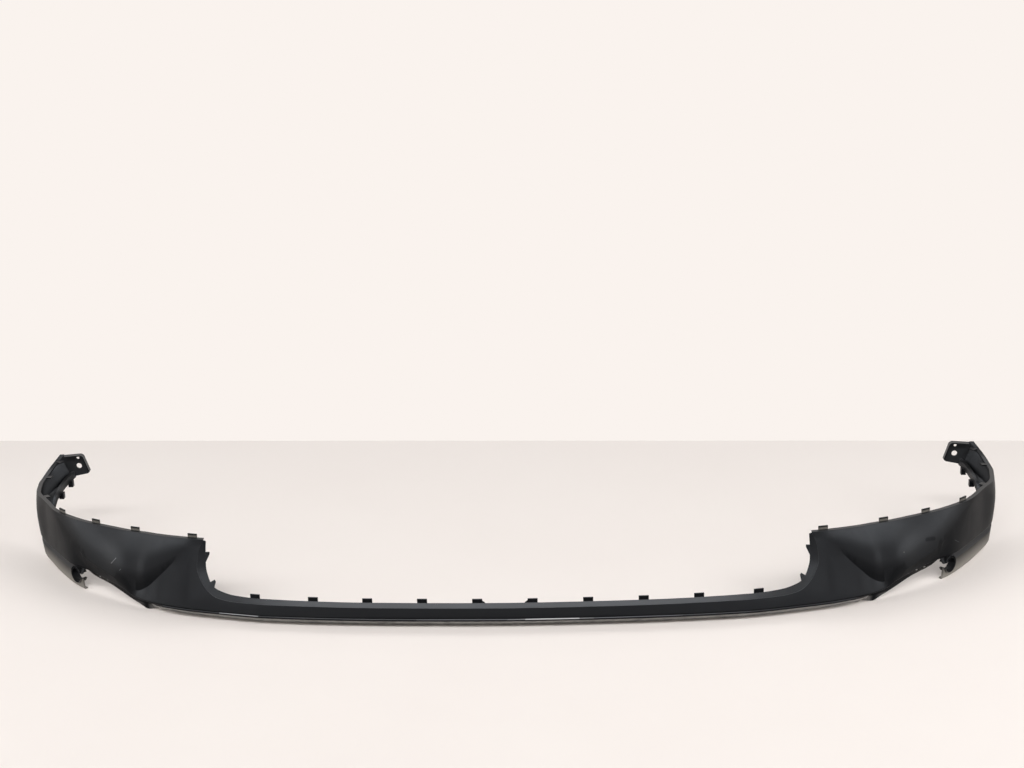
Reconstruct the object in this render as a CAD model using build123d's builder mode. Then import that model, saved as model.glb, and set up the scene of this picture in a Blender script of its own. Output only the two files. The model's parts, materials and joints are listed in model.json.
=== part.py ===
from build123d import *
import os
from math import cos, sin, radians

# Driving dimensions in millimetres
wall = 2.8                 # moulded wall
bar_half = 503             # half of the centre bar, out to where the wing begins
bar_y = 31                 # depth at which the wing begins, behind the leading edge
corner_y = 190             # depth at which the front turns into the side
flange_y = 457             # depth of the rear face of the end flanges
top_high = 130             # upper edge of the wings
end_rise = 28              # the upper edge climbs this much to the end flange
lip_high = 18              # leading edge above the floor
arch_low = 42              # lower edge of the corner panel
end_low = 112              # lower edge of the side at the end flange
fold_high = 36             # fold line along the centre bar
fold_lap = 0.8             # the folded band reaches this far down behind the front
lip_tuck = 19              # the under-face of the lip runs back this far to the floor
lip_round = 5              # rounding of the leading edge
foot_flange = 14           # flange that lies on the floor under the lip
top_flange = 8             # flange turned back along the upper edge
tab_wide, tab_tall, tab_thick = 17, 7, 2.4
tab_pitch = 94             # spacing of the tabs on the centre bar
ramp_long, ramp_tall = 5, 4
wing_tabs = (42, 150, 229, 303)
tongue_wide, tongue_reach = 12, 9
hook_long, hook_reach, hook_tip = 20, 7, 4
foot_hook_long, foot_hook_reach = 14, 9
skirt_tuck = 4             # the foot of the skirt stands this far inside the edge above it
skirt_foot = 5             # flange turned in at the foot of the skirt
notch_radius, notch_rim, notch_deep = 12, 4, 14
notch_high = 25            # centre of the round bite in the skirt
flange_thick, border_wide, border_deep = 3, 2.4, 11
strip_wide, strip_tall = 5, 14
small_hole, big_hole = 5.5, 10.5
clip_size = (9, 10, 12)
slot_size = (16, 3, 8)


def lean(a, b, share):
    """The point a given share of the way from a to b."""
    return tuple(p + (q - p) * share for p, q in zip(a, b))


def gap(a, b):
    return sum((q - p) ** 2 for p, q in zip(a, b)) ** 0.5


def arc(a, corner, b, shares):
    """Points of the smooth curve that leaves a and reaches b, drawn to the corner."""
    return [lean(lean(a, corner, t), lean(corner, b, t), t) for t in shares]


def shifted(points, depth):
    """The same chain of corners moved to its left by the wall thickness."""
    sides = [(-(b[1] - a[1]) / gap(a, b), (b[0] - a[0]) / gap(a, b)) for a, b in zip(points, points[1:])]
    moved = []
    for i, (px, pz) in enumerate(points):
        (ax, az), (bx, bz) = sides[max(i - 1, 0)], sides[min(i, len(sides) - 1)]
        share = depth / (1 + ax * bx + az * bz)
        moved.append((px + (ax + bx) * share, pz + (az + bz) * share))
    return moved


def slopes(values, places):
    """Slopes for a curve through the values that never swings past them."""
    rise = [(b - a) / (q - p) for a, b, p, q in zip(values, values[1:], places, places[1:])]
    inner = [2 * a * b / (a + b) if a * b > 0 else 0 for a, b in zip(rise, rise[1:])]
    return [rise[0]] + inner + [rise[-1]]


def rows_of(sections, from_middle):
    """For each corner of the sections, the smooth edges that join it from section to section."""
    places = [0.0]
    for a, b in zip(sections, sections[1:]):
        places.append(places[-1] + gap(a[0], b[0]) + gap(a[-1], b[-1]))
    rows = []
    for row in zip(*sections):
        speed = [list(v) for v in zip(*[slopes(axis, places) for axis in zip(*row)])]
        if from_middle:
            speed[0][1:] = [0, 0]
        rows.append([Edge.make_spline(row[i:i + 2], speed[i:i + 2], parameters=places[i:i + 2], scale=False)
                     for i in range(len(row) - 1)])
    return rows


def flow(sections, from_middle=False):
    """A smooth solid through closed sections that all have the same number of corners."""
    rows = rows_of(sections, from_middle)
    sides = [Face.make_surface_from_curves(a, b)
             for one, other in zip(rows, rows[1:] + rows[:1]) for a, b in zip(one, other)]
    ends = [Face(Wire.make_polygon(s, close=True)) for s in (sections[0], sections[-1])]
    return Solid(Shell(sides + ends))


def spot(row, share):
    """A point on a row and the way the row runs there; share counts whole edges."""
    first = min(int(share), len(row) - 1)
    return row[first].position_at(share - first), row[first].tangent_at(share - first)


def where(height, low, high):
    """The share at which a rising height passes nought."""
    for _ in range(40):
        mid = (low + high) / 2
        low, high = (mid, high) if height(mid) < 0 else (low, mid)
    return (low + high) / 2


def upright(place):
    """Vertical plane across the path: its X axis points into the part and its Y axis points up."""
    x, y, turn = place
    s, c = sin(radians(turn)), cos(radians(turn))
    return Plane(origin=(x, y, 0), x_dir=(-s, c, 0), z_dir=(c, s, 0))


def placed(plane, points):
    return [tuple(plane.from_local_coords((a, b, 0))) for a, b in points]


def wing(x, share, turn):
    """A place on the wing: x beyond the bar, share of the way back to the corner, heading."""
    return bar_half + x, bar_y + share * (corner_y - bar_y), turn


def side(x, share, turn):
    """A place on the side: x beyond the bar, share of the way back to the end flange, heading."""
    return bar_half + x, corner_y + share * (flange_y - corner_y), turn


def station(place, low, back, high=top_high, crease=0.88, out=0, bow=0,
            tuck=(lip_tuck, lip_high), end=(foot_flange, 0)):
    """One wall section: upper flange, bowed panel, crease, rounded lip, under-face and foot."""
    rim, top, lip = (back + top_flange, high), (back, high), (0, low)
    mid = (crease * back - out, low + crease * (high - low))
    belly = ((mid[0] + top[0]) / 2 - bow, (mid[1] + top[1]) / 2)
    heel = (tuck[0], low - tuck[1])
    toe = (heel[0] + end[0], heel[1] + end[1])
    reach = min(lip_round, 0.4 * gap(lip, mid), 0.4 * gap(lip, heel))
    above, below = lean(lip, mid, reach / gap(lip, mid)), lean(lip, heel, reach / gap(lip, heel))
    outer = [rim, top] + arc(top, belly, mid, (0.25, 0.5, 0.75)) + [mid]
    outer += [above] + arc(above, lip, below, (1 / 3, 2 / 3)) + [below, heel, toe]
    inner = shifted([rim, top, belly, mid, lip, heel, toe], wall)
    inner[2:3] = arc(inner[1], inner[2], inner[3], (1 / 3, 2 / 3))
    return placed(upright(place), outer + inner[::-1])


# Stations along the right half, from the centre to the end of the side
skirt_start, corner = wing(267, 0.89, 43), side(285, 0, 46)
wrap = [side(319, 0.165, 55), side(352, 0.348, 63), side(381, 0.52, 72), side(388, 0.637, 82)]
end_x = side(349, 1, 90)[0]
path = [
    station((0, -11, 0), lip_high, 31),
    station((0.4 * bar_half, -6, 4), lip_high, 34),
    station((0.8 * bar_half, 9.5, 9), lip_high, 46.7),
    station(wing(0, 0, 14), lip_high, 50.4),
    station(wing(57, 0.0975, 18), lip_high, 47.2, crease=0.84),
    station(wing(107, 0.22, 23), lip_high, 41.4, crease=0.44, bow=13.2),
    station(wing(131, 0.296, 26), lip_high, 38, crease=0.22, bow=20, tuck=(9, 3), end=(2, -15)),
    station(wing(150, 0.371, 31), lip_high + 2, 35, crease=0.12, bow=21, tuck=(7, 2), end=(2, -12)),
    station(wing(175, 0.484, 36), arch_low - 13, 27, crease=0.14, out=6.5, bow=18, tuck=(8, 1), end=(2, -16)),
    station(wing(212, 0.673, 38), arch_low - 7, 16, crease=0.2, out=7.5, bow=8, tuck=(8, 1), end=(2, -12)),
    station(wing(252, 0.874, 40), arch_low - 3, 6.3, crease=0.32, out=8, bow=4.5, tuck=(7, 2), end=(3, -9)),
    station(corner, arch_low, 8, crease=0.62, out=2.6, bow=1.3, tuck=(6, 4)),
    station(wrap[0], arch_low, -2.3, out=0.6, tuck=(6, 4)),
    station(wrap[1], arch_low, -1, crease=0.5, out=0.8, bow=1, tuck=(6, 4)),
    station(wrap[2], arch_low + 4, 0.5, crease=0.25, out=2, bow=4, tuck=(6, 4)),
    station(wrap[3], end_low - 46, 1.5, crease=0.2, out=1.5, bow=4, tuck=(6, 3), end=(17, 0)),
    station(side(382, 0.73, 90), end_low - 18, -7.5, crease=0.25, out=4, bow=5, tuck=(6, 2), end=(17, 0)),
    station(side(366, 0.88, 90), end_low - 8, -19, top_high + end_rise / 4, crease=0.6, tuck=(5, 1),
            end=(9, 0)),
    station(side(349, 1, 90), end_low, -18, top_high + end_rise, crease=0.6, tuck=(5, 1), end=(3, 0)),
]
wall_rows = rows_of(path, True)


def front(x, z):
    """The point of the front panel that lies at x and z."""
    def point(share):
        upper, lower = spot(wall_rows[5], share)[0], spot(wall_rows[6], share)[0]
        return lower + (upper - lower) * ((z - lower.Z) / (upper.Z - lower.Z))
    return point(where(lambda share: point(share).X - x, 0, 9))


def along(row, x):
    """Place on a long edge at x, as a flat plane with its X axis along the edge."""
    point, way = spot(row, where(lambda share: spot(row, share)[0].X - x, 0, min(len(row), 13)))
    return Plane(origin=point, x_dir=(way.X, way.Y, 0), z_dir=(0, 0, 1))


# Fold round the opening: x beyond the bar, share of the climb, width of the folded band, its run back
fold = [(-bar_half, 0, 7, 7), (-273, 0, 7, 7), (-83, 0, 7.5, 8), (-33, 0.005, 8.5, 9),
        (-5, 0.043, 10, 10), (13, 0.149, 9.5, 9), (26, 0.319, 12, 9),
        (33, 0.532, 14.5, 7), (31, 0.755, 13, 4), (22, 0.984, 5, 1.5)]
fold_spots = [front(bar_half + x, fold_high + climb * (top_high - fold_high)) for x, climb, _, _ in fold]


def band_section(i):
    """Section of the folded band across the fold line."""
    way = fold_spots[min(i + 1, len(fold) - 1)] - fold_spots[max(i - 1, 0)]
    way = Vector(1, 0, 0) if i == 0 else way.normalized()
    across = Vector(0, 1, 0) - way * way.Y
    wide, back = fold[i][2:]
    sheet = (wall * wide / gap((0, 0), (wide, back)), -wall * back / gap((0, 0), (wide, back)))
    root, edge = (0.3, -fold_lap), (back, wide)
    inside = [(edge[0] + sheet[0], edge[1] + sheet[1]), (root[0] + sheet[0], root[1] + sheet[1])]
    return placed(Plane(origin=fold_spots[i], x_dir=across, z_dir=way), [root, edge] + inside)


band = [band_section(i) for i in range(len(fold))]
band_rows = rows_of(band, True)
fold_line = rows_of([[tuple(p)] for p in fold_spots], True)[0]


def hook_plane(share):
    """Plane in the middle of the band's sheet, with its Y axis out into the opening."""
    ends = [spot(row, share)[0] for row in band_rows]
    root, edge = (ends[0] + ends[3]) * 0.5, (ends[1] + ends[2]) * 0.5
    way = spot(band_rows[1], share)[1]
    return Plane(origin=edge, x_dir=way, z_dir=way.cross(edge - root))


def skirt_section(place, high, low):
    """Section of the skirt: it hangs from the groove and turns in at the floor."""
    outer = [(8.5, high), (6, high - 4), (1.5, high - 9), (skirt_tuck, low + 2), (skirt_tuck + 2, low),
             (skirt_tuck + 2 + skirt_foot, low)]
    return placed(upright(place), outer + shifted(outer, wall)[::-1])


def strip_section(section):
    """Section of the raised strip on the inner edge of the ledge."""
    heel, toe = [Vector(*corner) for corner in section[10:12]]
    way = (toe - heel).normalized()
    return [tuple(toe + way * a + Vector(0, 0, b)) for a, b in (
        (0.8, 1), (0.8, strip_tall), (-strip_wide, strip_tall), (-strip_wide, 1))]


groove = arch_low - 2.6
skirt = [skirt_section(*place) for place in (
    (skirt_start, groove, 0), (corner, groove, 0), (wrap[0], groove, 0), (wrap[1], groove, 2),
    (wrap[2], groove + 4, 10), (wrap[3], end_low - 47.6, 32))]
notch_turn = radians(45)
notch = Plane(origin=lean(skirt_start, corner, 0.75)[:2] + (notch_high,),
              x_dir=(cos(notch_turn), sin(notch_turn), 0), z_dir=(-sin(notch_turn), cos(notch_turn), 0))

with BuildPart() as half:
    add(flow(path, True))
    # Opening between the wings, cut back to the fold line
    with BuildSketch(Plane.XZ):
        with BuildLine():
            line = [spot(fold_line, i / 4)[0] for i in range(4 * len(fold) - 3)]
            cut = Spline(*[(p.X, p.Z) for p in line])
            Polyline(cut @ 1, (cut @ 1) + (-3, 20), ((cut @ 0).X, top_high + 20), cut @ 0)
        make_face()
    extrude(amount=flange_y, both=True, mode=Mode.SUBTRACT)
    add(flow(band, True))
    # Skirt with its round bite and the rim that curls round the bite
    add(flow(skirt))
    with BuildSketch(notch):
        Circle(notch_radius)
        with Locations((-notch_radius, 0)):
            Rectangle(2 * notch_radius, 0.8 * notch_radius)
    extrude(amount=notch_deep, both=True, mode=Mode.SUBTRACT)
    with BuildSketch(notch):
        Circle(notch_radius + notch_rim)
        Circle(notch_radius, mode=Mode.SUBTRACT)
        with Locations((-notch_radius, 0)):
            Rectangle(2 * notch_radius, 0.9 * notch_radius, mode=Mode.SUBTRACT)
    extrude(amount=notch_deep)
    # Upright tabs on the centre bar and on the wing
    bar_tabs = [(i + 0.5) * tab_pitch for i in range(4)] + [bar_half - 72]
    seats = [along(band_rows[1], x) * Location((0, wall / 2, 0)) for x in bar_tabs]
    seats += [along(wall_rows[0], bar_half + x) * Location((0, -0.3 - tab_thick / 2, 0)) for x in wing_tabs]
    with Locations(*[seat * Location((0, 0, -0.8 * wall)) for seat in seats]):
        Box(tab_wide, tab_thick, tab_tall + 0.8 * wall, align=(Align.CENTER, Align.CENTER, Align.MIN))
    # Ramp beside the tab nearest the centre
    with BuildSketch(Plane(seats[0] * Rot(90, 0, 0))):
        with BuildLine():
            Polyline((0, -1), (0, ramp_tall), (-tab_wide / 2, ramp_tall), (-tab_wide / 2 - ramp_long, 0),
                     (-tab_wide / 2 - ramp_long, -1), close=True)
        make_face()
    extrude(amount=0.4 * tab_thick, both=True)
    # Tongues that point inwards from the upper edge of the side
    rims = [spot(wall_rows[0], share) for share in (13.45, 16.5, 17.6)]
    with Locations(*[Plane(origin=point, x_dir=(way.X, way.Y, 0), z_dir=(0, 0, 1)) for point, way in rims]):
        with Locations((0, -1.5, -0.2)):
            Box(tongue_wide, tongue_reach + 1.5, tab_thick, align=(Align.CENTER, Align.MIN, Align.MAX))
    # Hooked teeth on the band, one where it turns up from the bar and one near its top
    for share, long, reach in ((5.15, foot_hook_long, foot_hook_reach), (7.75, hook_long, hook_reach)):
        with BuildSketch(hook_plane(share)):
            with BuildLine():
                Polyline((-long / 2, -1), (long / 2, -1), (long / 2, reach),
                         (long / 2 - hook_tip, reach), close=True)
            make_face()
        extrude(amount=tab_thick / 2, both=True)
    # End flange with its two screw holes
    end_top = top_high + end_rise
    with BuildSketch(Plane.XZ.offset(-flange_y)) as plate:
        with BuildLine():
            Polyline((end_x + 16, end_top - 1.4), (end_x - 27.5, end_top + 2), (end_x - 40, end_low + 9),
                     (end_x - 0.5, end_low + 1), close=True)
        make_face()
        fillet(plate.vertices().sort_by(Axis.X)[:2], 8)
        with Locations((end_x - 16.5, end_top - 6.5)):
            Circle(small_hole / 2, mode=Mode.SUBTRACT)
        with Locations((end_x - 17.5, end_top - 22.5)):
            Circle(big_hole / 2, mode=Mode.SUBTRACT)
    extrude(amount=flange_thick)
    # Raised border along the upper and inner edges of the flange
    with BuildSketch(Plane.XZ.offset(0.6 - flange_y)):
        with BuildLine():
            FilletPolyline((end_x + 8, end_top - 2.4), (end_x - 26.6, end_top + 0.6),
                           (end_x - 37.6, end_low + 14), radius=7)
        trace(line_width=border_wide)
    extrude(amount=border_deep)
    # Raised strip and clip blocks on the ledge of the side
    add(flow([strip_section(section) for section in path[15:]]))
    with Locations((end_x - 2, flange_y - 15, end_low - 8), (end_x + 6, flange_y - 55, end_low - 17)):
        Box(*clip_size)
    # Slots in the lower rim of the arch
    with Locations(*[upright(wing(189 + 16 * i, 0.553 + 0.082 * i, 38)) * Location((9, arch_low - 13, 0))
                     for i in range(4)]):
        Box(*slot_size, mode=Mode.SUBTRACT)

with BuildPart() as splitter_lip:
    add(half)
    mirror(half.part, about=Plane.YZ)

middle = splitter_lip.part.bounding_box().center().Y
splitter_lip.part.position = (0, -middle, 0)
splitter_lip.part.label = "splitter_lip"

os.makedirs("parts", exist_ok=True)
export_step(splitter_lip.part, "parts/splitter_lip.step")
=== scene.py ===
# %% [markdown]
# # A moulded splitter lip, dressed for its picture
# The part is one thin shell of black plastic that snaps under a car's front bumper. Its shape is already
# in the CAD model, so this lesson loads that model as a fixed frame, and then works on what the eye reads
# next: the plastic's surface, the bead on its leading edge, the pale floor and the soft light.

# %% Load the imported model
import json
from math import cos, pi, radians, sin

import bpy
from mathutils import Matrix, Vector


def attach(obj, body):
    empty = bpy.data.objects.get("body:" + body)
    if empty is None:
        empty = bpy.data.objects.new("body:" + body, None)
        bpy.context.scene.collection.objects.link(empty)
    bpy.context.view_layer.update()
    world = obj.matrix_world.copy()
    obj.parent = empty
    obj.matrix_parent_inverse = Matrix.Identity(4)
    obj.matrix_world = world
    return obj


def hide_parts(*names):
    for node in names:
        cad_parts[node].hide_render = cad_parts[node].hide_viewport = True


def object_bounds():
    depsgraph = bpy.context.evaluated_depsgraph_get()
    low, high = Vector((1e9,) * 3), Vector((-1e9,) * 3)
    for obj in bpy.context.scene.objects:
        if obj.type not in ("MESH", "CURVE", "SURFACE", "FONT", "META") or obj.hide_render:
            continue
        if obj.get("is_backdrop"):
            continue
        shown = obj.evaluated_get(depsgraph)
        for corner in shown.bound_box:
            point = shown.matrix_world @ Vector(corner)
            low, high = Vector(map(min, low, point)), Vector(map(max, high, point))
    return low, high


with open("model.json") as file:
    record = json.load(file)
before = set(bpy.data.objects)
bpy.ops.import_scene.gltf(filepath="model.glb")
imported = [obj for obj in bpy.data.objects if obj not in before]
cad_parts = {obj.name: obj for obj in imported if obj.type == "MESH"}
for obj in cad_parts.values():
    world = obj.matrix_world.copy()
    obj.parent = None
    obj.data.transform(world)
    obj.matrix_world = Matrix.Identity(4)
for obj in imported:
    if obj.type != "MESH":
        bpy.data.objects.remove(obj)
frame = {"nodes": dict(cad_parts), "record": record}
cad_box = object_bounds()
lip = frame["nodes"]["splitter_lip"]
scene = bpy.context.scene
print("CAD box in metres:", [round(b - a, 4) for a, b in zip(*cad_box)])
print("Triangles in the CAD model's shell:", len(lip.data.polygons))

# %% [markdown]
# ## Colours and nodes
# Colours are written as the hex values that a paint program shows. Blender calculates with linear light,
# so one function turns them over. Another adds a node, gives it its settings and joins its inputs.
# Everything below that is made of nodes, a material or a Geometry Nodes tree, is made with it, so each
# node reads as one line: what it is, what feeds it, how it is set.

# %% Colour and node helpers
mm = 0.001


def paint(code):
    """Linear colour of an sRGB hex value such as 1b1c1e."""
    parts = [int(code[i:i + 2], 16) / 255 for i in (0, 2, 4)]
    return [p / 12.92 if p <= 0.04045 else ((p + 0.055) / 1.055) ** 2.4 for p in parts] + [1]


def add(tree, kind, inputs=None, **settings):
    """Adds a node; an input is a value or the output socket that feeds it."""
    node = tree.nodes.new(kind)
    for name, value in settings.items():
        setattr(node, name, value)
    for name, value in (inputs or {}).items():
        if isinstance(value, bpy.types.NodeSocket):
            tree.links.new(value, node.inputs[name])
        else:
            node.inputs[name].default_value = value
    return node


print("Darkest mould black in linear light:", [round(c, 4) for c in paint("0a0b0d")[:3]])

# %% [markdown]
# ## Trees with named inputs
# A node tree is like a recipe, and its inputs are the amounts. Sizes could be typed into the nodes, but a
# named input can be found and changed later without knowing the tree. One function opens a tree with its
# inputs. Another closes a Geometry Nodes tree: it makes instances real, because an export drops them, and
# sets the material.

# %% Helpers that open and close a tree
def open_tree(name, kind, inputs, output):
    """A tree with named inputs and one output; gives the tree and the sockets that carry its inputs."""
    tree = bpy.data.node_groups.new(name, kind)
    for label, value in inputs.items():
        tree.interface.new_socket(label, in_out="INPUT", socket_type="NodeSocket" + value)
    label, value = output
    tree.interface.new_socket(label, in_out="OUTPUT", socket_type="NodeSocket" + value)
    return tree, add(tree, "NodeGroupInput").outputs


def close_tree(tree, geometry, material):
    """Ends a Geometry Nodes tree with plain geometry that has its material."""
    whole = add(tree, "GeometryNodeRealizeInstances", {"Geometry": geometry}).outputs[0]
    coated = add(tree, "GeometryNodeSetMaterial", {"Geometry": whole, "Material": material}).outputs[0]
    add(tree, "NodeGroupOutput", {"Geometry": coated})


def fresh_material(name):
    """An empty material and its node tree."""
    material = bpy.data.materials.new(name)
    material.use_nodes = True
    material.node_tree.nodes.clear()
    return material, material.node_tree


print("Helpers ready:", [helper.__name__ for helper in (paint, add, open_tree, close_tree, fresh_material)])

# %% [markdown]
# ## A smooth shell
# The real lip is one unbroken skin. The CAD model's mesh has the same shape, but its triangles are loose,
# and light breaks along lines that the plastic doesn't have. Remeshing would smooth that and round off
# the creases too. Welding keeps every corner where it is, so the tree welds first. A triangle that still
# has an open edge after that lies as a flap on the closed shell, and it is taken off.

# %% Tree for the shell: weld it and take off flaps
shell, given = open_tree("smooth_shell", "GeometryNodeTree",
                         {"Geometry": "Geometry", "Join Within": "Float", "Hard Angle": "Float",
                          "Material": "Material"}, ("Geometry", "Geometry"))
welded = add(shell, "GeometryNodeMergeByDistance",
             {"Geometry": given["Geometry"], "Distance": given["Join Within"]}).outputs[0]
flap_passes = 2  # a flap has two triangles, and the second may lie open only once the first is off
for _ in range(flap_passes):
    neighbours = add(shell, "GeometryNodeInputMeshEdgeNeighbors").outputs["Face Count"]
    # A closed shell has two faces at every edge, so an edge with one is open
    loose = add(shell, "FunctionNodeCompare", {"A": neighbours, "B": 1.5}, operation="LESS_THAN").outputs[0]
    # Read on a face, this is the share of its edges that are open: a third or more on a flap
    share = add(shell, "GeometryNodeFieldOnDomain", {"Value": loose}, data_type="FLOAT",
                domain="EDGE").outputs[0]
    flap = add(shell, "FunctionNodeCompare", {"A": share, "B": 0.1}, operation="GREATER_THAN").outputs[0]
    welded = add(shell, "GeometryNodeDeleteGeometry", {"Geometry": welded, "Selection": flap},
                 domain="FACE").outputs[0]
print("Inputs of the shell's tree:", [socket.name for socket in given if socket.name])

# %% [markdown]
# ## Round holes in the end flanges
# Each end flange has a hole for a screw and a smaller one above it. In the CAD model's mesh they have
# flat sides, which show up close. New flanges would be much work for four holes. The record says where
# each hole is and how wide, so the tree stands a finer cylinder in each and cuts with the Boolean node.

# %% Tree for the shell: drill the holes
drill_sides = 48
drill_long = 16 * mm
drill_play = 0.1  # millimetres on the radius, so that the drill clears the flats of the CAD model's hole
mounts = frame["record"]["mounts"]
drills = add(shell, "GeometryNodeJoinGeometry")
for mount in mounts:
    hole = mount["dims"]
    drill = add(shell, "GeometryNodeMeshCylinder", {"Vertices": drill_sides, "Depth": drill_long,
                                                    "Radius": (hole["hole_r_mm"] + drill_play) * mm})
    half_span = hole["spacing_x_mm"] / 2 * mm
    for side in (1, -1):
        centre = Vector(mount["pos_m"]) + Vector((side * half_span, 0, 0))
        laid = add(shell, "GeometryNodeTransform", {"Geometry": drill.outputs["Mesh"], "Translation": centre,
                                                    "Rotation": (pi / 2, 0, 0)})
        shell.links.new(laid.outputs[0], drills.inputs[0])
drilled = add(shell, "GeometryNodeMeshBoolean", {"Mesh 1": welded, "Mesh 2": drills.outputs[0]},
              operation="DIFFERENCE", solver="EXACT").outputs[0]
print("Holes drilled round:", 2 * len(mounts))

# %% [markdown]
# ## Soft faces and hard edges
# A moulding has soft bends and sharp creases side by side. Flat shading shows every triangle, and smooth
# shading smears the creases. The tree compares the angle at each edge with an input instead: an edge that
# turns further stays hard, and all others are soft. The normals that came with the CAD model go first.

# %% Tree for the shell: shade it
bare = add(shell, "GeometryNodeRemoveAttribute", {"Geometry": drilled, "Name": "custom_normal"}).outputs[0]
soft = add(shell, "GeometryNodeSetShadeSmooth", {"Geometry": bare, "Shade Smooth": True},
           domain="FACE").outputs[0]
angle = add(shell, "GeometryNodeInputMeshEdgeAngle").outputs["Unsigned Angle"]
hard = add(shell, "FunctionNodeCompare", {"A": angle, "B": given["Hard Angle"]},
           operation="GREATER_THAN").outputs[0]
edged = add(shell, "GeometryNodeSetShadeSmooth",
            {"Geometry": soft, "Selection": hard, "Shade Smooth": False}, domain="EDGE").outputs[0]
close_tree(shell, edged, given["Material"])
print("Nodes in the shell's tree:", len(shell.nodes))

# %% [markdown]
# ## A bead on the leading edge
# A thin raised bead runs along the front of the lip and catches the light. A painted line would have no
# highlight of its own, and pulling up the shell's triangles would disturb its shading. A tube swept along
# a line of points is simple and exact: it sinks about half into the shell and thins out towards both
# ends.

# %% Tree for the bead
bead, given = open_tree("bead_along_edge", "GeometryNodeTree",
                        {"Geometry": "Geometry", "Radius": "Float", "Taper": "Float",
                         "Material": "Material"}, ("Geometry", "Geometry"))
ring_points = 16
end_share = 0.15  # what is left of the radius at each end
line = add(bead, "GeometryNodeMeshToCurve", {"Mesh": given["Geometry"]}).outputs[0]
along = add(bead, "GeometryNodeSplineParameter").outputs["Factor"]
back = add(bead, "ShaderNodeMath", {0: 1.0, 1: along}, operation="SUBTRACT").outputs[0]
nearer = add(bead, "ShaderNodeMath", {0: along, 1: back}, operation="MINIMUM").outputs[0]
thin = add(bead, "ShaderNodeMapRange", {"Value": nearer, "From Max": given["Taper"], "To Min": end_share},
           interpolation_type="SMOOTHSTEP").outputs[0]
swept = add(bead, "GeometryNodeSetCurveRadius", {"Curve": line, "Radius": thin}).outputs[0]
ring = add(bead, "GeometryNodeCurvePrimitiveCircle",
           {"Resolution": ring_points, "Radius": given["Radius"]}).outputs[0]
tube = add(bead, "GeometryNodeCurveToMesh",
           {"Curve": swept, "Profile Curve": ring, "Fill Caps": True}).outputs[0]
soft = add(bead, "GeometryNodeSetShadeSmooth", {"Geometry": tube, "Shade Smooth": True}).outputs[0]
close_tree(bead, soft, given["Material"])
print("Trees made:", [shell.name, bead.name])

# %% [markdown]
# ## One group for every mark
# A used lip has a few marks that belong to one place: scratches on the wings and a dull smudge. A painted
# highlight along the bead, where its glint runs, is drawn the same way. Each is a short line on the surface.
# An image could hold them, but it would need unwrapping and many pixels. A node group that measures how far
# a point lies from a line draws all of them, in the object's own coordinates, where they stay put from every
# side.

# %% A group that draws one mark
mark, given = open_tree("mark_on_plastic", "ShaderNodeTree",
                        {"Place": "Vector", "Start": "Vector", "Way": "Vector", "Width": "Float"},
                        ("Mask", "Float"))
from_start = add(mark, "ShaderNodeVectorMath", {0: given["Place"], 1: given["Start"]},
                 operation="SUBTRACT").outputs[0]
reach = add(mark, "ShaderNodeVectorMath", {0: from_start, 1: given["Way"]},
            operation="DOT_PRODUCT").outputs["Value"]
whole = add(mark, "ShaderNodeVectorMath", {0: given["Way"], 1: given["Way"]},
            operation="DOT_PRODUCT").outputs["Value"]
share = add(mark, "ShaderNodeMath", {0: reach, 1: whole}, operation="DIVIDE", use_clamp=True).outputs[0]
foot = add(mark, "ShaderNodeVectorMath", {0: given["Way"], "Scale": share}, operation="SCALE").outputs[0]
off = add(mark, "ShaderNodeVectorMath", {0: from_start, 1: foot}, operation="DISTANCE").outputs["Value"]
mask = add(mark, "ShaderNodeMapRange", {"Value": off, "From Min": given["Width"], "From Max": 0.0},
           interpolation_type="SMOOTHSTEP").outputs[0]
add(mark, "NodeGroupOutput", {"Mask": mask})
print("Inputs of the mark group:", [socket.name for socket in given if socket.name])

# %% [markdown]
# ## Black polypropylene, injection moulded
# The lip is moulded in black polypropylene against a steel tool with a fine eroded grain. That gives the
# eye a satin black: dark where a face looks forward, with a soft grey sheen where it turns up to the
# light. One flat black would look like a hole in the picture, so two blacks are mixed over the broad,
# faint patches that the flow of the melt and later handling leave. The grain is kept for the relief
# further down.

# %% Moulded polypropylene: its black and its grain
plastic, resin = fresh_material("moulded_black_polypropylene")
place = add(resin, "ShaderNodeTexCoord").outputs["Object"]
facing = add(resin, "ShaderNodeNewGeometry").outputs["Normal"]
# The tool's grain is about 0.4 mm wide; it is drawn at 2.2 mm, or a picture of the whole lip would lose it
grain_wide = 2.2 * mm
grain = add(resin, "ShaderNodeTexNoise",
            {"Vector": place, "Scale": 1 / grain_wide, "Detail": 2.0}).outputs["Fac"]
# The flow of the melt and wiping by hand change the gloss over about 60 mm
flow_wide = 60 * mm
flow = add(resin, "ShaderNodeTexNoise",
           {"Vector": place, "Scale": 1 / flow_wide, "Detail": 3.0}).outputs["Fac"]
black = add(resin, "ShaderNodeMix", {"Factor": flow, "A": paint("0a0b0d"), "B": paint("111214")},
            data_type="RGBA").outputs["Result"]
print("Widths of grain and flow in mm:", grain_wide / mm, flow_wide / mm)

# %% [markdown]
# ## Where dirt and painted light go
# Dirt on a lip follows rules: it lies on what faces up and is rubbed off elsewhere, and painted light
# follows rules too.
# It could be brushed on by hand, but a new mesh would lose that. Here a region is a product of ramps,
# each over something that can be measured at a point: how far up its face looks, how high it lies, how
# far aside.

# %% Measures and a function for regions
up = add(resin, "ShaderNodeSeparateXYZ", {0: facing}).outputs["Z"]
spot = add(resin, "ShaderNodeSeparateXYZ", {0: place}).outputs
rearward = spot["Y"]
height = spot["Z"]
aside = add(resin, "ShaderNodeMath", {0: spot["X"]}, operation="ABSOLUTE").outputs[0]
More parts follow.
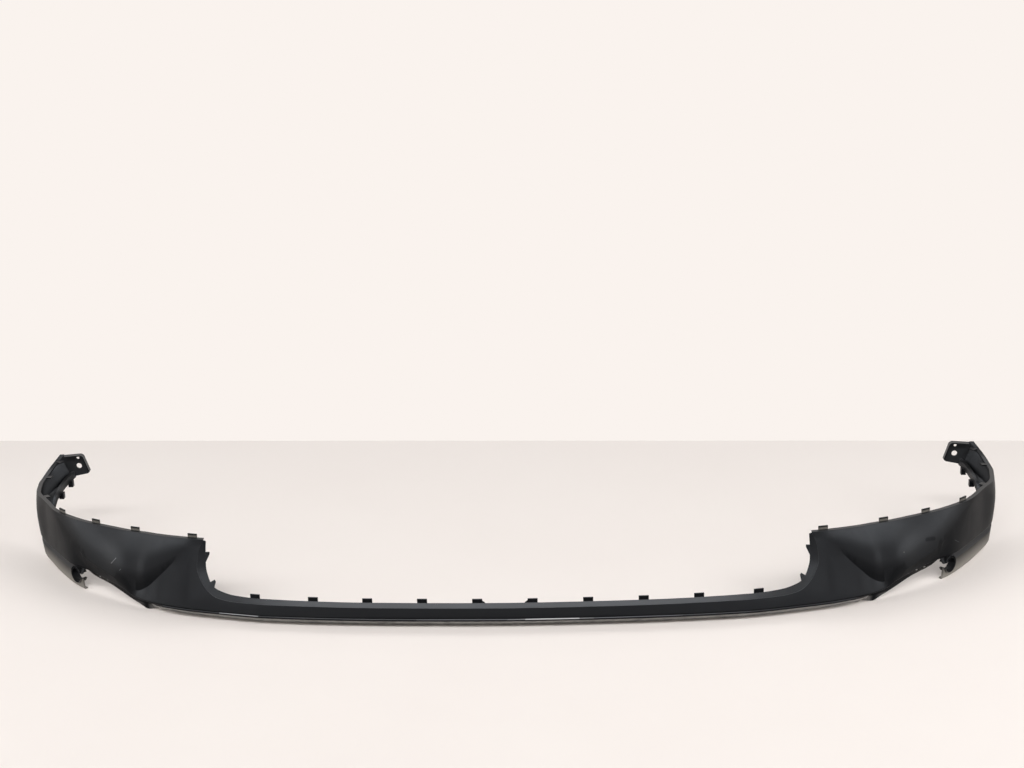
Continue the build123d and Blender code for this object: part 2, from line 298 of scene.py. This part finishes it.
# The round bite in the skirt is measured on both sides at once, because aside has no sign
bite_centre = (0.7786, -0.0329, 0.025)
folded = add(resin, "ShaderNodeCombineXYZ", {"X": aside, "Y": rearward, "Z": height}).outputs[0]
from_bite = add(resin, "ShaderNodeVectorMath", {0: folded, 1: bite_centre},
                operation="DISTANCE").outputs["Value"]


def region(*ramps):
    """Mask of a region: a product of ramps, each a measure, its start, its end and its value there."""
    mask = 1.0
    for measure, start, end, most in ramps:
        ramp = add(resin, "ShaderNodeMapRange",
                   {"Value": measure, "From Min": start, "From Max": end, "To Max": most}).outputs[0]
        mask = add(resin, "ShaderNodeMath", {0: mask, 1: ramp}, operation="MULTIPLY").outputs[0]
    return mask


print("Centre of the bite in mm:", [round(c / mm, 1) for c in bite_centre])

# %% [markdown]
# ## Dust, painted reflection, painted sheen and painted shade
# Dust gives upward faces a thin grey veil in patches. Low on the skirts, a pale tone is a painted reflection
# of the floor; the rim of the round bite is left out of it and kept dark, a painted shade. The sloping band
# of the bar gets a painted sheen, the foot of each wing tab a finer film, and the end flanges a faint grey.
# Each is one region, with its limits in millimetres or metres, so that each can be found on the part.

# %% Regions of dust, painted reflection and painted sheen
patch_wide = 15 * mm
patch = add(resin, "ShaderNodeTexNoise",
            {"Vector": place, "Scale": 1 / patch_wide, "Detail": 4.0}).outputs["Fac"]
veil = region((up, 0.35, 1.0, 0.05))
dust = add(resin, "ShaderNodeMath", {0: veil, 1: patch}, operation="MULTIPLY").outputs[0]
# The bite's rim, out to 16 mm from its centre, gets no pale tone and little shine, a painted shade, and both
# are whole again at 18 mm
outside_rim = (from_bite, 16 * mm, 18 * mm, 1.0)
clear = region(outside_rim)
# Skirts: within 32 mm of the floor and more than 0.7 m from the middle; the pale tone is a painted
# reflection of the floor
skirt_floor_reflection = region((aside, 0.70, 0.74, 1.0), (height, 32 * mm, 4 * mm, 0.85), outside_rim)
# End flanges: 222 mm and more behind the middle get a faint grey that makes them paler
flange_grey = region((rearward, 222 * mm, 228 * mm, 0.09))
# The bar's band: it slopes, lies below 70 mm, and ends before the wings; its pale tone is a painted sheen
bar_band_sheen = region((up, 0.45, 0.6, 0.18), (height, 70 * mm, 60 * mm, 1.0), (aside, 0.46, 0.36, 1.0))
# The foot of each wing tab: between the wing's rim at 130 mm and the tab's tip
tabs = region((height, 130.2 * mm, 131 * mm, 1.0), (height, 136 * mm, 133 * mm, 1.0),
              (rearward, 60 * mm, 40 * mm, 0.5))
print("Nodes so far:", len(resin.nodes))

# %% [markdown]
# ## Painted floor reflection, worn edges and lint
# The under-face is painted pale where it looks down at the floor, a painted reflection of the floor, and
# hands and boxes rub the edges to a greyer black. An edge could be found by its curvature, but the Bevel
# node already knows where the rounded surface turns away from the flat one, and it also gives each edge the
# soft highlight of a moulded corner. Lint is a speck in each cell of a Voronoi pattern, seen only where the
# cell's centre meets the surface.

# %% Painted floor reflection, edges and lint
# Faces that look down, within 11.5 mm of the floor: a painted reflection of the floor, uneven in patches
under = region((height, 11.5 * mm, 9 * mm, 1.0), (up, -0.1, -0.4, 1.0))
uneven_patches = add(resin, "ShaderNodeMapRange", {"Value": patch, "From Min": 0.3, "From Max": 0.6, "To Min": 0.6,
                                         "To Max": 0.9}).outputs[0]
underface_floor_reflection = add(resin, "ShaderNodeMath", {0: under, 1: uneven_patches}, operation="MULTIPLY").outputs[0]
edge_radius = 1.2 * mm
rounded = add(resin, "ShaderNodeBevel", {"Radius": edge_radius}, samples=6).outputs[0]
turn = add(resin, "ShaderNodeVectorMath", {0: rounded, 1: facing}, operation="DOT_PRODUCT").outputs["Value"]
rubbed = region((turn, 0.995, 0.8, 0.3))
# Lint: specks of about 1.2 mm, one in some of the 45 mm cells
cell_wide = 45 * mm
speck = 1.2 * mm / cell_wide
cells = add(resin, "ShaderNodeTexVoronoi", {"Vector": place, "Scale": 1 / cell_wide}).outputs["Distance"]
lint = region((cells, speck, speck / 2, 0.4))
print("Radius of a moulded edge in mm:", edge_radius / mm)

# %% [markdown]
# ## Layers over the black
# On the part, one kind of dirt lies on another, and some layers are painted reflection and painted sheen.
# The
# colour is built in the same order: each layer is mixed over what is below it, as far as its region covers.
# A loop does it, because only the mask and the tone differ.

# %% Layers
# Each layer is its mask and its tone; the skirt and under-face layers are painted reflection of the floor,
# the bar's band a painted sheen
layers = [(dust, "8f8b84"), (skirt_floor_reflection, "8f8b84"), (flange_grey, "85878b"), (bar_band_sheen, "888a8d"), (tabs, "8f8b84"),
          (underface_floor_reflection, "a9a8a6"), (rubbed, "4d4e51"), (lint, "c9c5bd")]
colour = black
for cover, tone in layers:
    colour = add(resin, "ShaderNodeMix", {"Factor": cover, "A": colour, "B": paint(tone)},
                 data_type="RGBA").outputs["Result"]
print("Layers over the black:", len(layers))

# %% [markdown]
# ## Scratches, a painted glint and a smudge
# Two light scratches lie on one wing and a darker one on the other, and a pale painted highlight runs along
# the bead where its glint is. The mark group draws each between two points on the shell. The smudge has no
# colour of
# its own: it takes shine away, so its mask is kept for the next step.

# %% Marks in their places
# Start and end of each mark on the shell, in metres, its width in millimetres, and its tone
# Scratches on the wings
marks_and_glint = [((-0.6996, -0.1006, 0.0724), (-0.6886, -0.1054, 0.0846), 0.9, "6e6f71"),
         ((-0.6823, -0.1151, 0.0647), (-0.6793, -0.1163, 0.0680), 0.8, "505154"),
         ((0.7904, -0.0297, 0.0674), (0.7995, -0.0203, 0.0595), 0.8, "3c3d40"),
         # A painted highlight: the glint along the bead, palest where it is strongest
         ((-0.4940, -0.1945, 0.0175), (-0.4250, -0.2100, 0.0175), 1.4, "9c9d9f"),
         ((-0.1500, -0.2312, 0.0175), (0.0250, -0.2342, 0.0175), 1.5, "5a5b5e"),
         ((0.0050, -0.2343, 0.0175), (0.1500, -0.2311, 0.0175), 1.5, "7c7d7f"),
         ((0.0350, -0.2340, 0.0175), (0.1250, -0.2319, 0.0175), 1.7, "c8c9ca"),
         ((0.1500, -0.2311, 0.0175), (0.3000, -0.2235, 0.0175), 1.4, "55565a")]


def marked(start, end, width):
    """Mask of one mark on the plastic; its width is in millimetres."""
    way = Vector(end) - Vector(start)
    return add(resin, "ShaderNodeGroup", {"Place": place, "Start": start, "Way": way, "Width": width * mm},
               node_tree=mark).outputs["Mask"]


for start, end, width, tone in marks_and_glint:
    line_mask = marked(start, end, width)
    colour = add(resin, "ShaderNodeMix", {"Factor": line_mask, "A": colour, "B": paint(tone)},
                 data_type="RGBA").outputs["Result"]
smudge_start = (0.7331, -0.0728, 0.0869)
smudge_end = (0.7468, -0.0645, 0.0852)
smudge_width = 5.5
smudge = marked(smudge_start, smudge_end, smudge_width)
print("Marks drawn:", len(marks_and_glint), "and a smudge")

# %% [markdown]
# ## How much it mirrors
# Black plastic is drawn by what it mirrors, so its shine matters more than its colour. Outer faces that
# stand upright or look down get little shine, so they mirror less of the pale floor: a painted shade. Inner
# faces, and
# faces that look up, get more: a painted sheen. Changing the roughness instead would also blur the
# highlights, so this works on the strength of the mirror image, which is the shader's Specular IOR Level.

# %% Shine
dull_shine = 0.06
full_shine = 0.21
upward_sheen_level = 0.06
# Shine grows as a face turns up: less on upright and downward faces, a painted shade, and more on upward
# ones, a painted sheen
facing_shine = add(resin, "ShaderNodeMapRange", {"Value": up, "From Min": 0.04, "From Max": 0.22,
                                         "To Min": dull_shine, "To Max": full_shine}).outputs[0]
# The part's middle lies between its two sides, so a face that looks back to it is an inner one
outward = add(resin, "ShaderNodeVectorMath", {0: facing, 1: place}, operation="DOT_PRODUCT").outputs["Value"]
# Inner faces and faces that look up get extra shine: a painted sheen that lifts them
inner = region((outward, 0.0, -0.15, 0.16))
upward_sheen = region((up, 0.36, 0.6, upward_sheen_level))
dulled = add(resin, "ShaderNodeMapRange",
             {"Value": smudge, "From Max": 0.6, "To Min": 1.0, "To Max": 0.5}).outputs[0]
# The rim of the bite keeps a fifth of the shine, so that it reads black: painted shade
bite_rim_shade = add(resin, "ShaderNodeMapRange", {"Value": clear, "To Min": 0.2}).outputs[0]
shine = facing_shine
for more in (inner, upward_sheen):
    shine = add(resin, "ShaderNodeMath", {0: shine, 1: more}, operation="ADD").outputs[0]
for less in (dulled, bite_rim_shade):
    shine = add(resin, "ShaderNodeMath", {0: shine, 1: less}, operation="MULTIPLY").outputs[0]
print("Shine of an outer face that looks down and of one that looks up:", dull_shine,
      round(full_shine + upward_sheen_level, 2))

# %% [markdown]
# ## The shader itself
# Polypropylene has an index of refraction of 1.49, and a moulded grain scatters the light to a roughness
# of about 0.4. The grain stands up by a few hundredths of a millimetre. As a displaced mesh it would cost
# millions of triangles, and as a bump it costs none, so it is a bump over the rounded edges.

# %% Shader
# 0.3 mm at a tenth of its strength
grain_deep = 0.3 * mm
relief = add(resin, "ShaderNodeBump", {"Height": grain, "Normal": rounded, "Strength": 0.1,
                                       "Distance": grain_deep}).outputs[0]
rough = add(resin, "ShaderNodeMapRange", {"Value": flow, "From Min": 0.3, "From Max": 0.7, "To Min": 0.37,
                                          "To Max": 0.43}).outputs[0]
skin = add(resin, "ShaderNodeBsdfPrincipled", {"Base Color": colour, "Roughness": rough, "Normal": relief,
                                               "IOR": 1.49, "Specular IOR Level": shine,
                                               "Specular Tint": paint("eef5ff")})
add(resin, "ShaderNodeOutputMaterial", {"Surface": skin.outputs[0]})
print("Material:", plastic.name, "with", len(resin.nodes), "nodes")

# %% [markdown]
# ## The shell, made by its tree
# Now the shell's tree gets a copy of the CAD model's mesh, and its result becomes a plain mesh. A live
# modifier would do for a picture, but a plain mesh also exports as it looks. The new shell rides on the
# part's only body and stands for the CAD model's node. Edges stay hard above 16 degrees: at less, single
# triangles begin to show.

# %% Shell
def grown(name, mesh, tree, inputs):
    """A piece whose mesh is what a Geometry Nodes tree makes of another mesh."""
    source = bpy.data.objects.new(name + "_source", mesh)
    scene.collection.objects.link(source)
    modifier = source.modifiers.new(tree.name, "NODES")
    modifier.node_group = tree
    for socket in tree.interface.items_tree:
        if socket.name in inputs and socket.in_out == "INPUT":
            modifier[socket.identifier] = inputs[socket.name]
    made = bpy.data.meshes.new_from_object(source.evaluated_get(bpy.context.evaluated_depsgraph_get()))
    bpy.data.objects.remove(source)
    piece = bpy.data.objects.new(name, made)
    scene.collection.objects.link(piece)
    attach(piece, "root")
    return piece


weld_within = 0.01 * mm
crease_angle = radians(16)
outside = grown("lip_shell", lip.data.copy(), shell,
                {"Join Within": weld_within, "Hard Angle": crease_angle, "Material": plastic})
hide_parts("splitter_lip")
print("Triangles in the shell:", len(outside.data.loop_triangles))

# %% [markdown]
# ## The bead, made by its tree
# The bead follows the front of the shell. Its points could be typed in, but they would be wrong after any
# change to the CAD model. So a ray is sent to the shell from the front every 10 mm, at the height of its
# nose, and each point that it meets is a point of the line.

# %% Bead
bead_radius = 2.2 * mm
taper_share = 0.08  # of the bead's length, at each end
nose_high = 16 * mm
step = 10 * mm
reach_steps = 60  # the bead runs 0.6 m to each side
proud = 0.3 * mm  # of the bead's middle line over the shell
ray_start = cad_box[0].y - 0.1  # in front of the whole lip
bpy.context.view_layer.update()
stations = range(-reach_steps, reach_steps + 1)
looks = [outside.ray_cast((i * step, ray_start, nose_high), (0, 1, 0)) for i in stations]
edge_points = [point + proud * normal for _, point, normal, _ in looks]
edge = bpy.data.meshes.new("leading_edge")
edge.from_pydata(edge_points, [(i, i + 1) for i in range(2 * reach_steps)], [])
rail = grown("leading_edge_bead", edge, bead,
             {"Radius": bead_radius, "Taper": taper_share, "Material": plastic})
print("Points along the bead:", len(edge_points), "and faces in it:", len(rail.data.polygons))

# %% [markdown]
# ## The floor
# The lip lies on a pale, warm floor that ends at a paler wall. A wall could be one more plane, but it
# would block the views from behind. It is so plain that the world's own colour can stand for it, so the
# floor simply ends where the wall would begin. Matt floor paint gives the eye an even, pale surface, and
# a faint mottle keeps it from looking like empty paper.

# %% Floor
mottle_wide = 350 * mm
floor_paint, coat = fresh_material("painted_studio_floor")
floor_place = add(coat, "ShaderNodeTexCoord").outputs["Object"]
mottle = add(coat, "ShaderNodeTexNoise",
             {"Vector": floor_place, "Scale": 1 / mottle_wide, "Detail": 4.0}).outputs["Fac"]
tone = add(coat, "ShaderNodeMix", {"Factor": mottle, "A": paint("f3ebe6"), "B": paint("f7f0eb")},
           data_type="RGBA").outputs["Result"]
flat = add(coat, "ShaderNodeBsdfPrincipled",
           {"Base Color": tone, "Roughness": 0.6, "Specular IOR Level": 0.1})
add(coat, "ShaderNodeOutputMaterial", {"Surface": flat.outputs[0]})
# The wall's line lies behind the lip, a little askew to it
wall_line = 0.7185
skew = -0.0435
wide = 2.8
front = -2.4
sheet = bpy.data.meshes.new("floor")
sheet.from_pydata([(-wide, front, 0), (wide, front, 0), (wide, wall_line + wide * skew, 0),
                   (-wide, wall_line - wide * skew, 0)], [], [(0, 1, 2, 3)])
floor = bpy.data.objects.new("floor", sheet)
scene.collection.objects.link(floor)
floor.data.materials.append(floor_paint)
floor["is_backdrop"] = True
print("The floor ends at y =", wall_line, "m")

# %% [markdown]
# ## Light of the room
# The room is as pale as the wall, for the camera and for what the plastic mirrors. If it also lit the
# part that strongly, the shadows would go. The Light Path node tells the two apart: rays from the camera,
# and rays that a glossy or clear surface sends on, see the wall's colour, and all other rays get a weak
# fill light.

# %% Room light
world = bpy.data.worlds.new("studio")
scene.world = world
world.use_nodes = True
air = world.node_tree
air.nodes.clear()
ray = add(air, "ShaderNodeLightPath").outputs
shown = ray["Is Camera Ray"]
for kind in ("Is Glossy Ray", "Is Transmission Ray"):
    shown = add(air, "ShaderNodeMath", {0: shown, 1: ray[kind]}, operation="MAXIMUM").outputs[0]
seen = add(air, "ShaderNodeBackground", {"Color": paint("faf3ee"), "Strength": 1.0})
fill = add(air, "ShaderNodeBackground", {"Color": paint("fbf8f5"), "Strength": 0.12})
both = add(air, "ShaderNodeMixShader", {"Fac": shown, 1: fill.outputs[0], 2: seen.outputs[0]})
add(air, "ShaderNodeOutputWorld", {"Surface": both.outputs[0]})
print("Strength of the fill light:", round(fill.inputs["Strength"].default_value, 2))

# %% [markdown]
# ## Soft boxes and panels
# A long soft box high in front draws the sheen on the bar, and a grid narrows its beam, which spares the
# floor. A wide window further off lifts the front, and a soft box behind lights the floor. Each wing
# mirrors three lamps at its own side: an upper panel, a side panel and a low strip. One big lamp would
# light all that too, but it would draw no forms, because each curve of the wing would mirror the same
# thing.

# %% Lamps
wide_open = 180
gridded = 70


def soft_box(name, place, aim, size, power, beam=wide_open):
    """A rectangular lamp at a place, turned to a point, with its beam kept to an angle in degrees."""
    lamp = bpy.data.lights.new(name, "AREA")
    lamp.shape = "RECTANGLE"
    lamp.size, lamp.size_y = size
    lamp.energy = power
    lamp.spread = radians(beam)
    holder = bpy.data.objects.new(name, lamp)
    holder.location = place
    holder.visible_camera = False
    holder.rotation_euler = (Vector(aim) - Vector(place)).to_track_quat("-Z", "Y").to_euler()
    scene.collection.objects.link(holder)
    print("Radiance of", name, round(power / (pi * size[0] * size[1]), 2))


soft_box("front_soft_box", (-0.2, -3.1, 4.2), (0, -0.2, 0), (6.0, 0.9), 31, gridded)
soft_box("front_window", (0, -6, 2.7), (0, 0, 0.1), (7.5, 2.4), 16)
soft_box("back_soft_box", (0, 2.4, 3.4), (0, 0.3, 0), (6.0, 1.8), 60)
# Lamps beside the lip: how far aside, forward and high they stand, their size, their power left and right
side_lamps = [("upper_panel", 3.11, -1.5, 2.25, (2.1, 1.3), 38, 50),
              ("side_panel", 4.06, -0.68, 0.75, (1.9, 1.1), 7, 10),
              ("low_strip", 4.06, -0.68, 0.21, (1.9, 0.4), 16, 18)]
wing_aside, wing_front, wing_high = 0.66, -0.08, 0.1
for name, far, forward, high, size, left_power, right_power in side_lamps:
    for hand, sign, power in (("left", -1, left_power), ("right", 1, right_power)):
        soft_box(f"{hand}_{name}", (sign * far, forward, high), (sign * wing_aside, wing_front, wing_high),
                 size, power)

# %% [markdown]
# ## Camera
# The camera stands about 3 m in front of the lip and 1.4 m up, a little to the right, and looks down 18
# degrees. A Track To constraint would aim it but leave its roll at zero. Its three directions are worked
# out from the angles instead, so that the picture has the same corners as the photograph.

# %% Camera
camera_place = (0.151, -3.1695, 1.378)
yaw = radians(-2.49)
pitch = radians(17.78)
roll = radians(-1.67)
sensor_wide = 36
focal_pixels = 1900
picture_pixels = 1024
look = Vector((sin(yaw) * cos(pitch), cos(yaw) * cos(pitch), -sin(pitch)))
right = Vector((cos(yaw), -sin(yaw), 0))
above = right.cross(look)
right, above = cos(roll) * right + sin(roll) * above, cos(roll) * above - sin(roll) * right
camera = bpy.data.objects.new("camera", bpy.data.cameras.new("camera"))
camera.data.sensor_width = sensor_wide
camera.data.lens = sensor_wide * focal_pixels / picture_pixels
camera.matrix_world = Matrix.Translation(camera_place) @ Matrix((right, above, -look)).transposed().to_4x4()
scene.collection.objects.link(camera)
scene.camera = camera
scene.view_settings.view_transform = "Standard"
print("Lens in millimetres:", round(camera.data.lens, 1))

# %% [markdown]
# ## Compare the boxes and finish
# Dressing must not change the part's size. The box of the dressed part is measured as the CAD model's box
# was at the start, and the shift of each corner is printed. Only the bead may stand a little proud of it, in
# front.

# %% Boxes and finish
boxes = {"cad": [list(c) for c in cad_box], "visual": [list(c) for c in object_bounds()]}
for name, cad, visual in zip(("lower", "upper"), boxes["cad"], boxes["visual"]):
    print("The", name, "corner moved by, in mm:", [round((v - c) / mm, 2) for c, v in zip(cad, visual)])
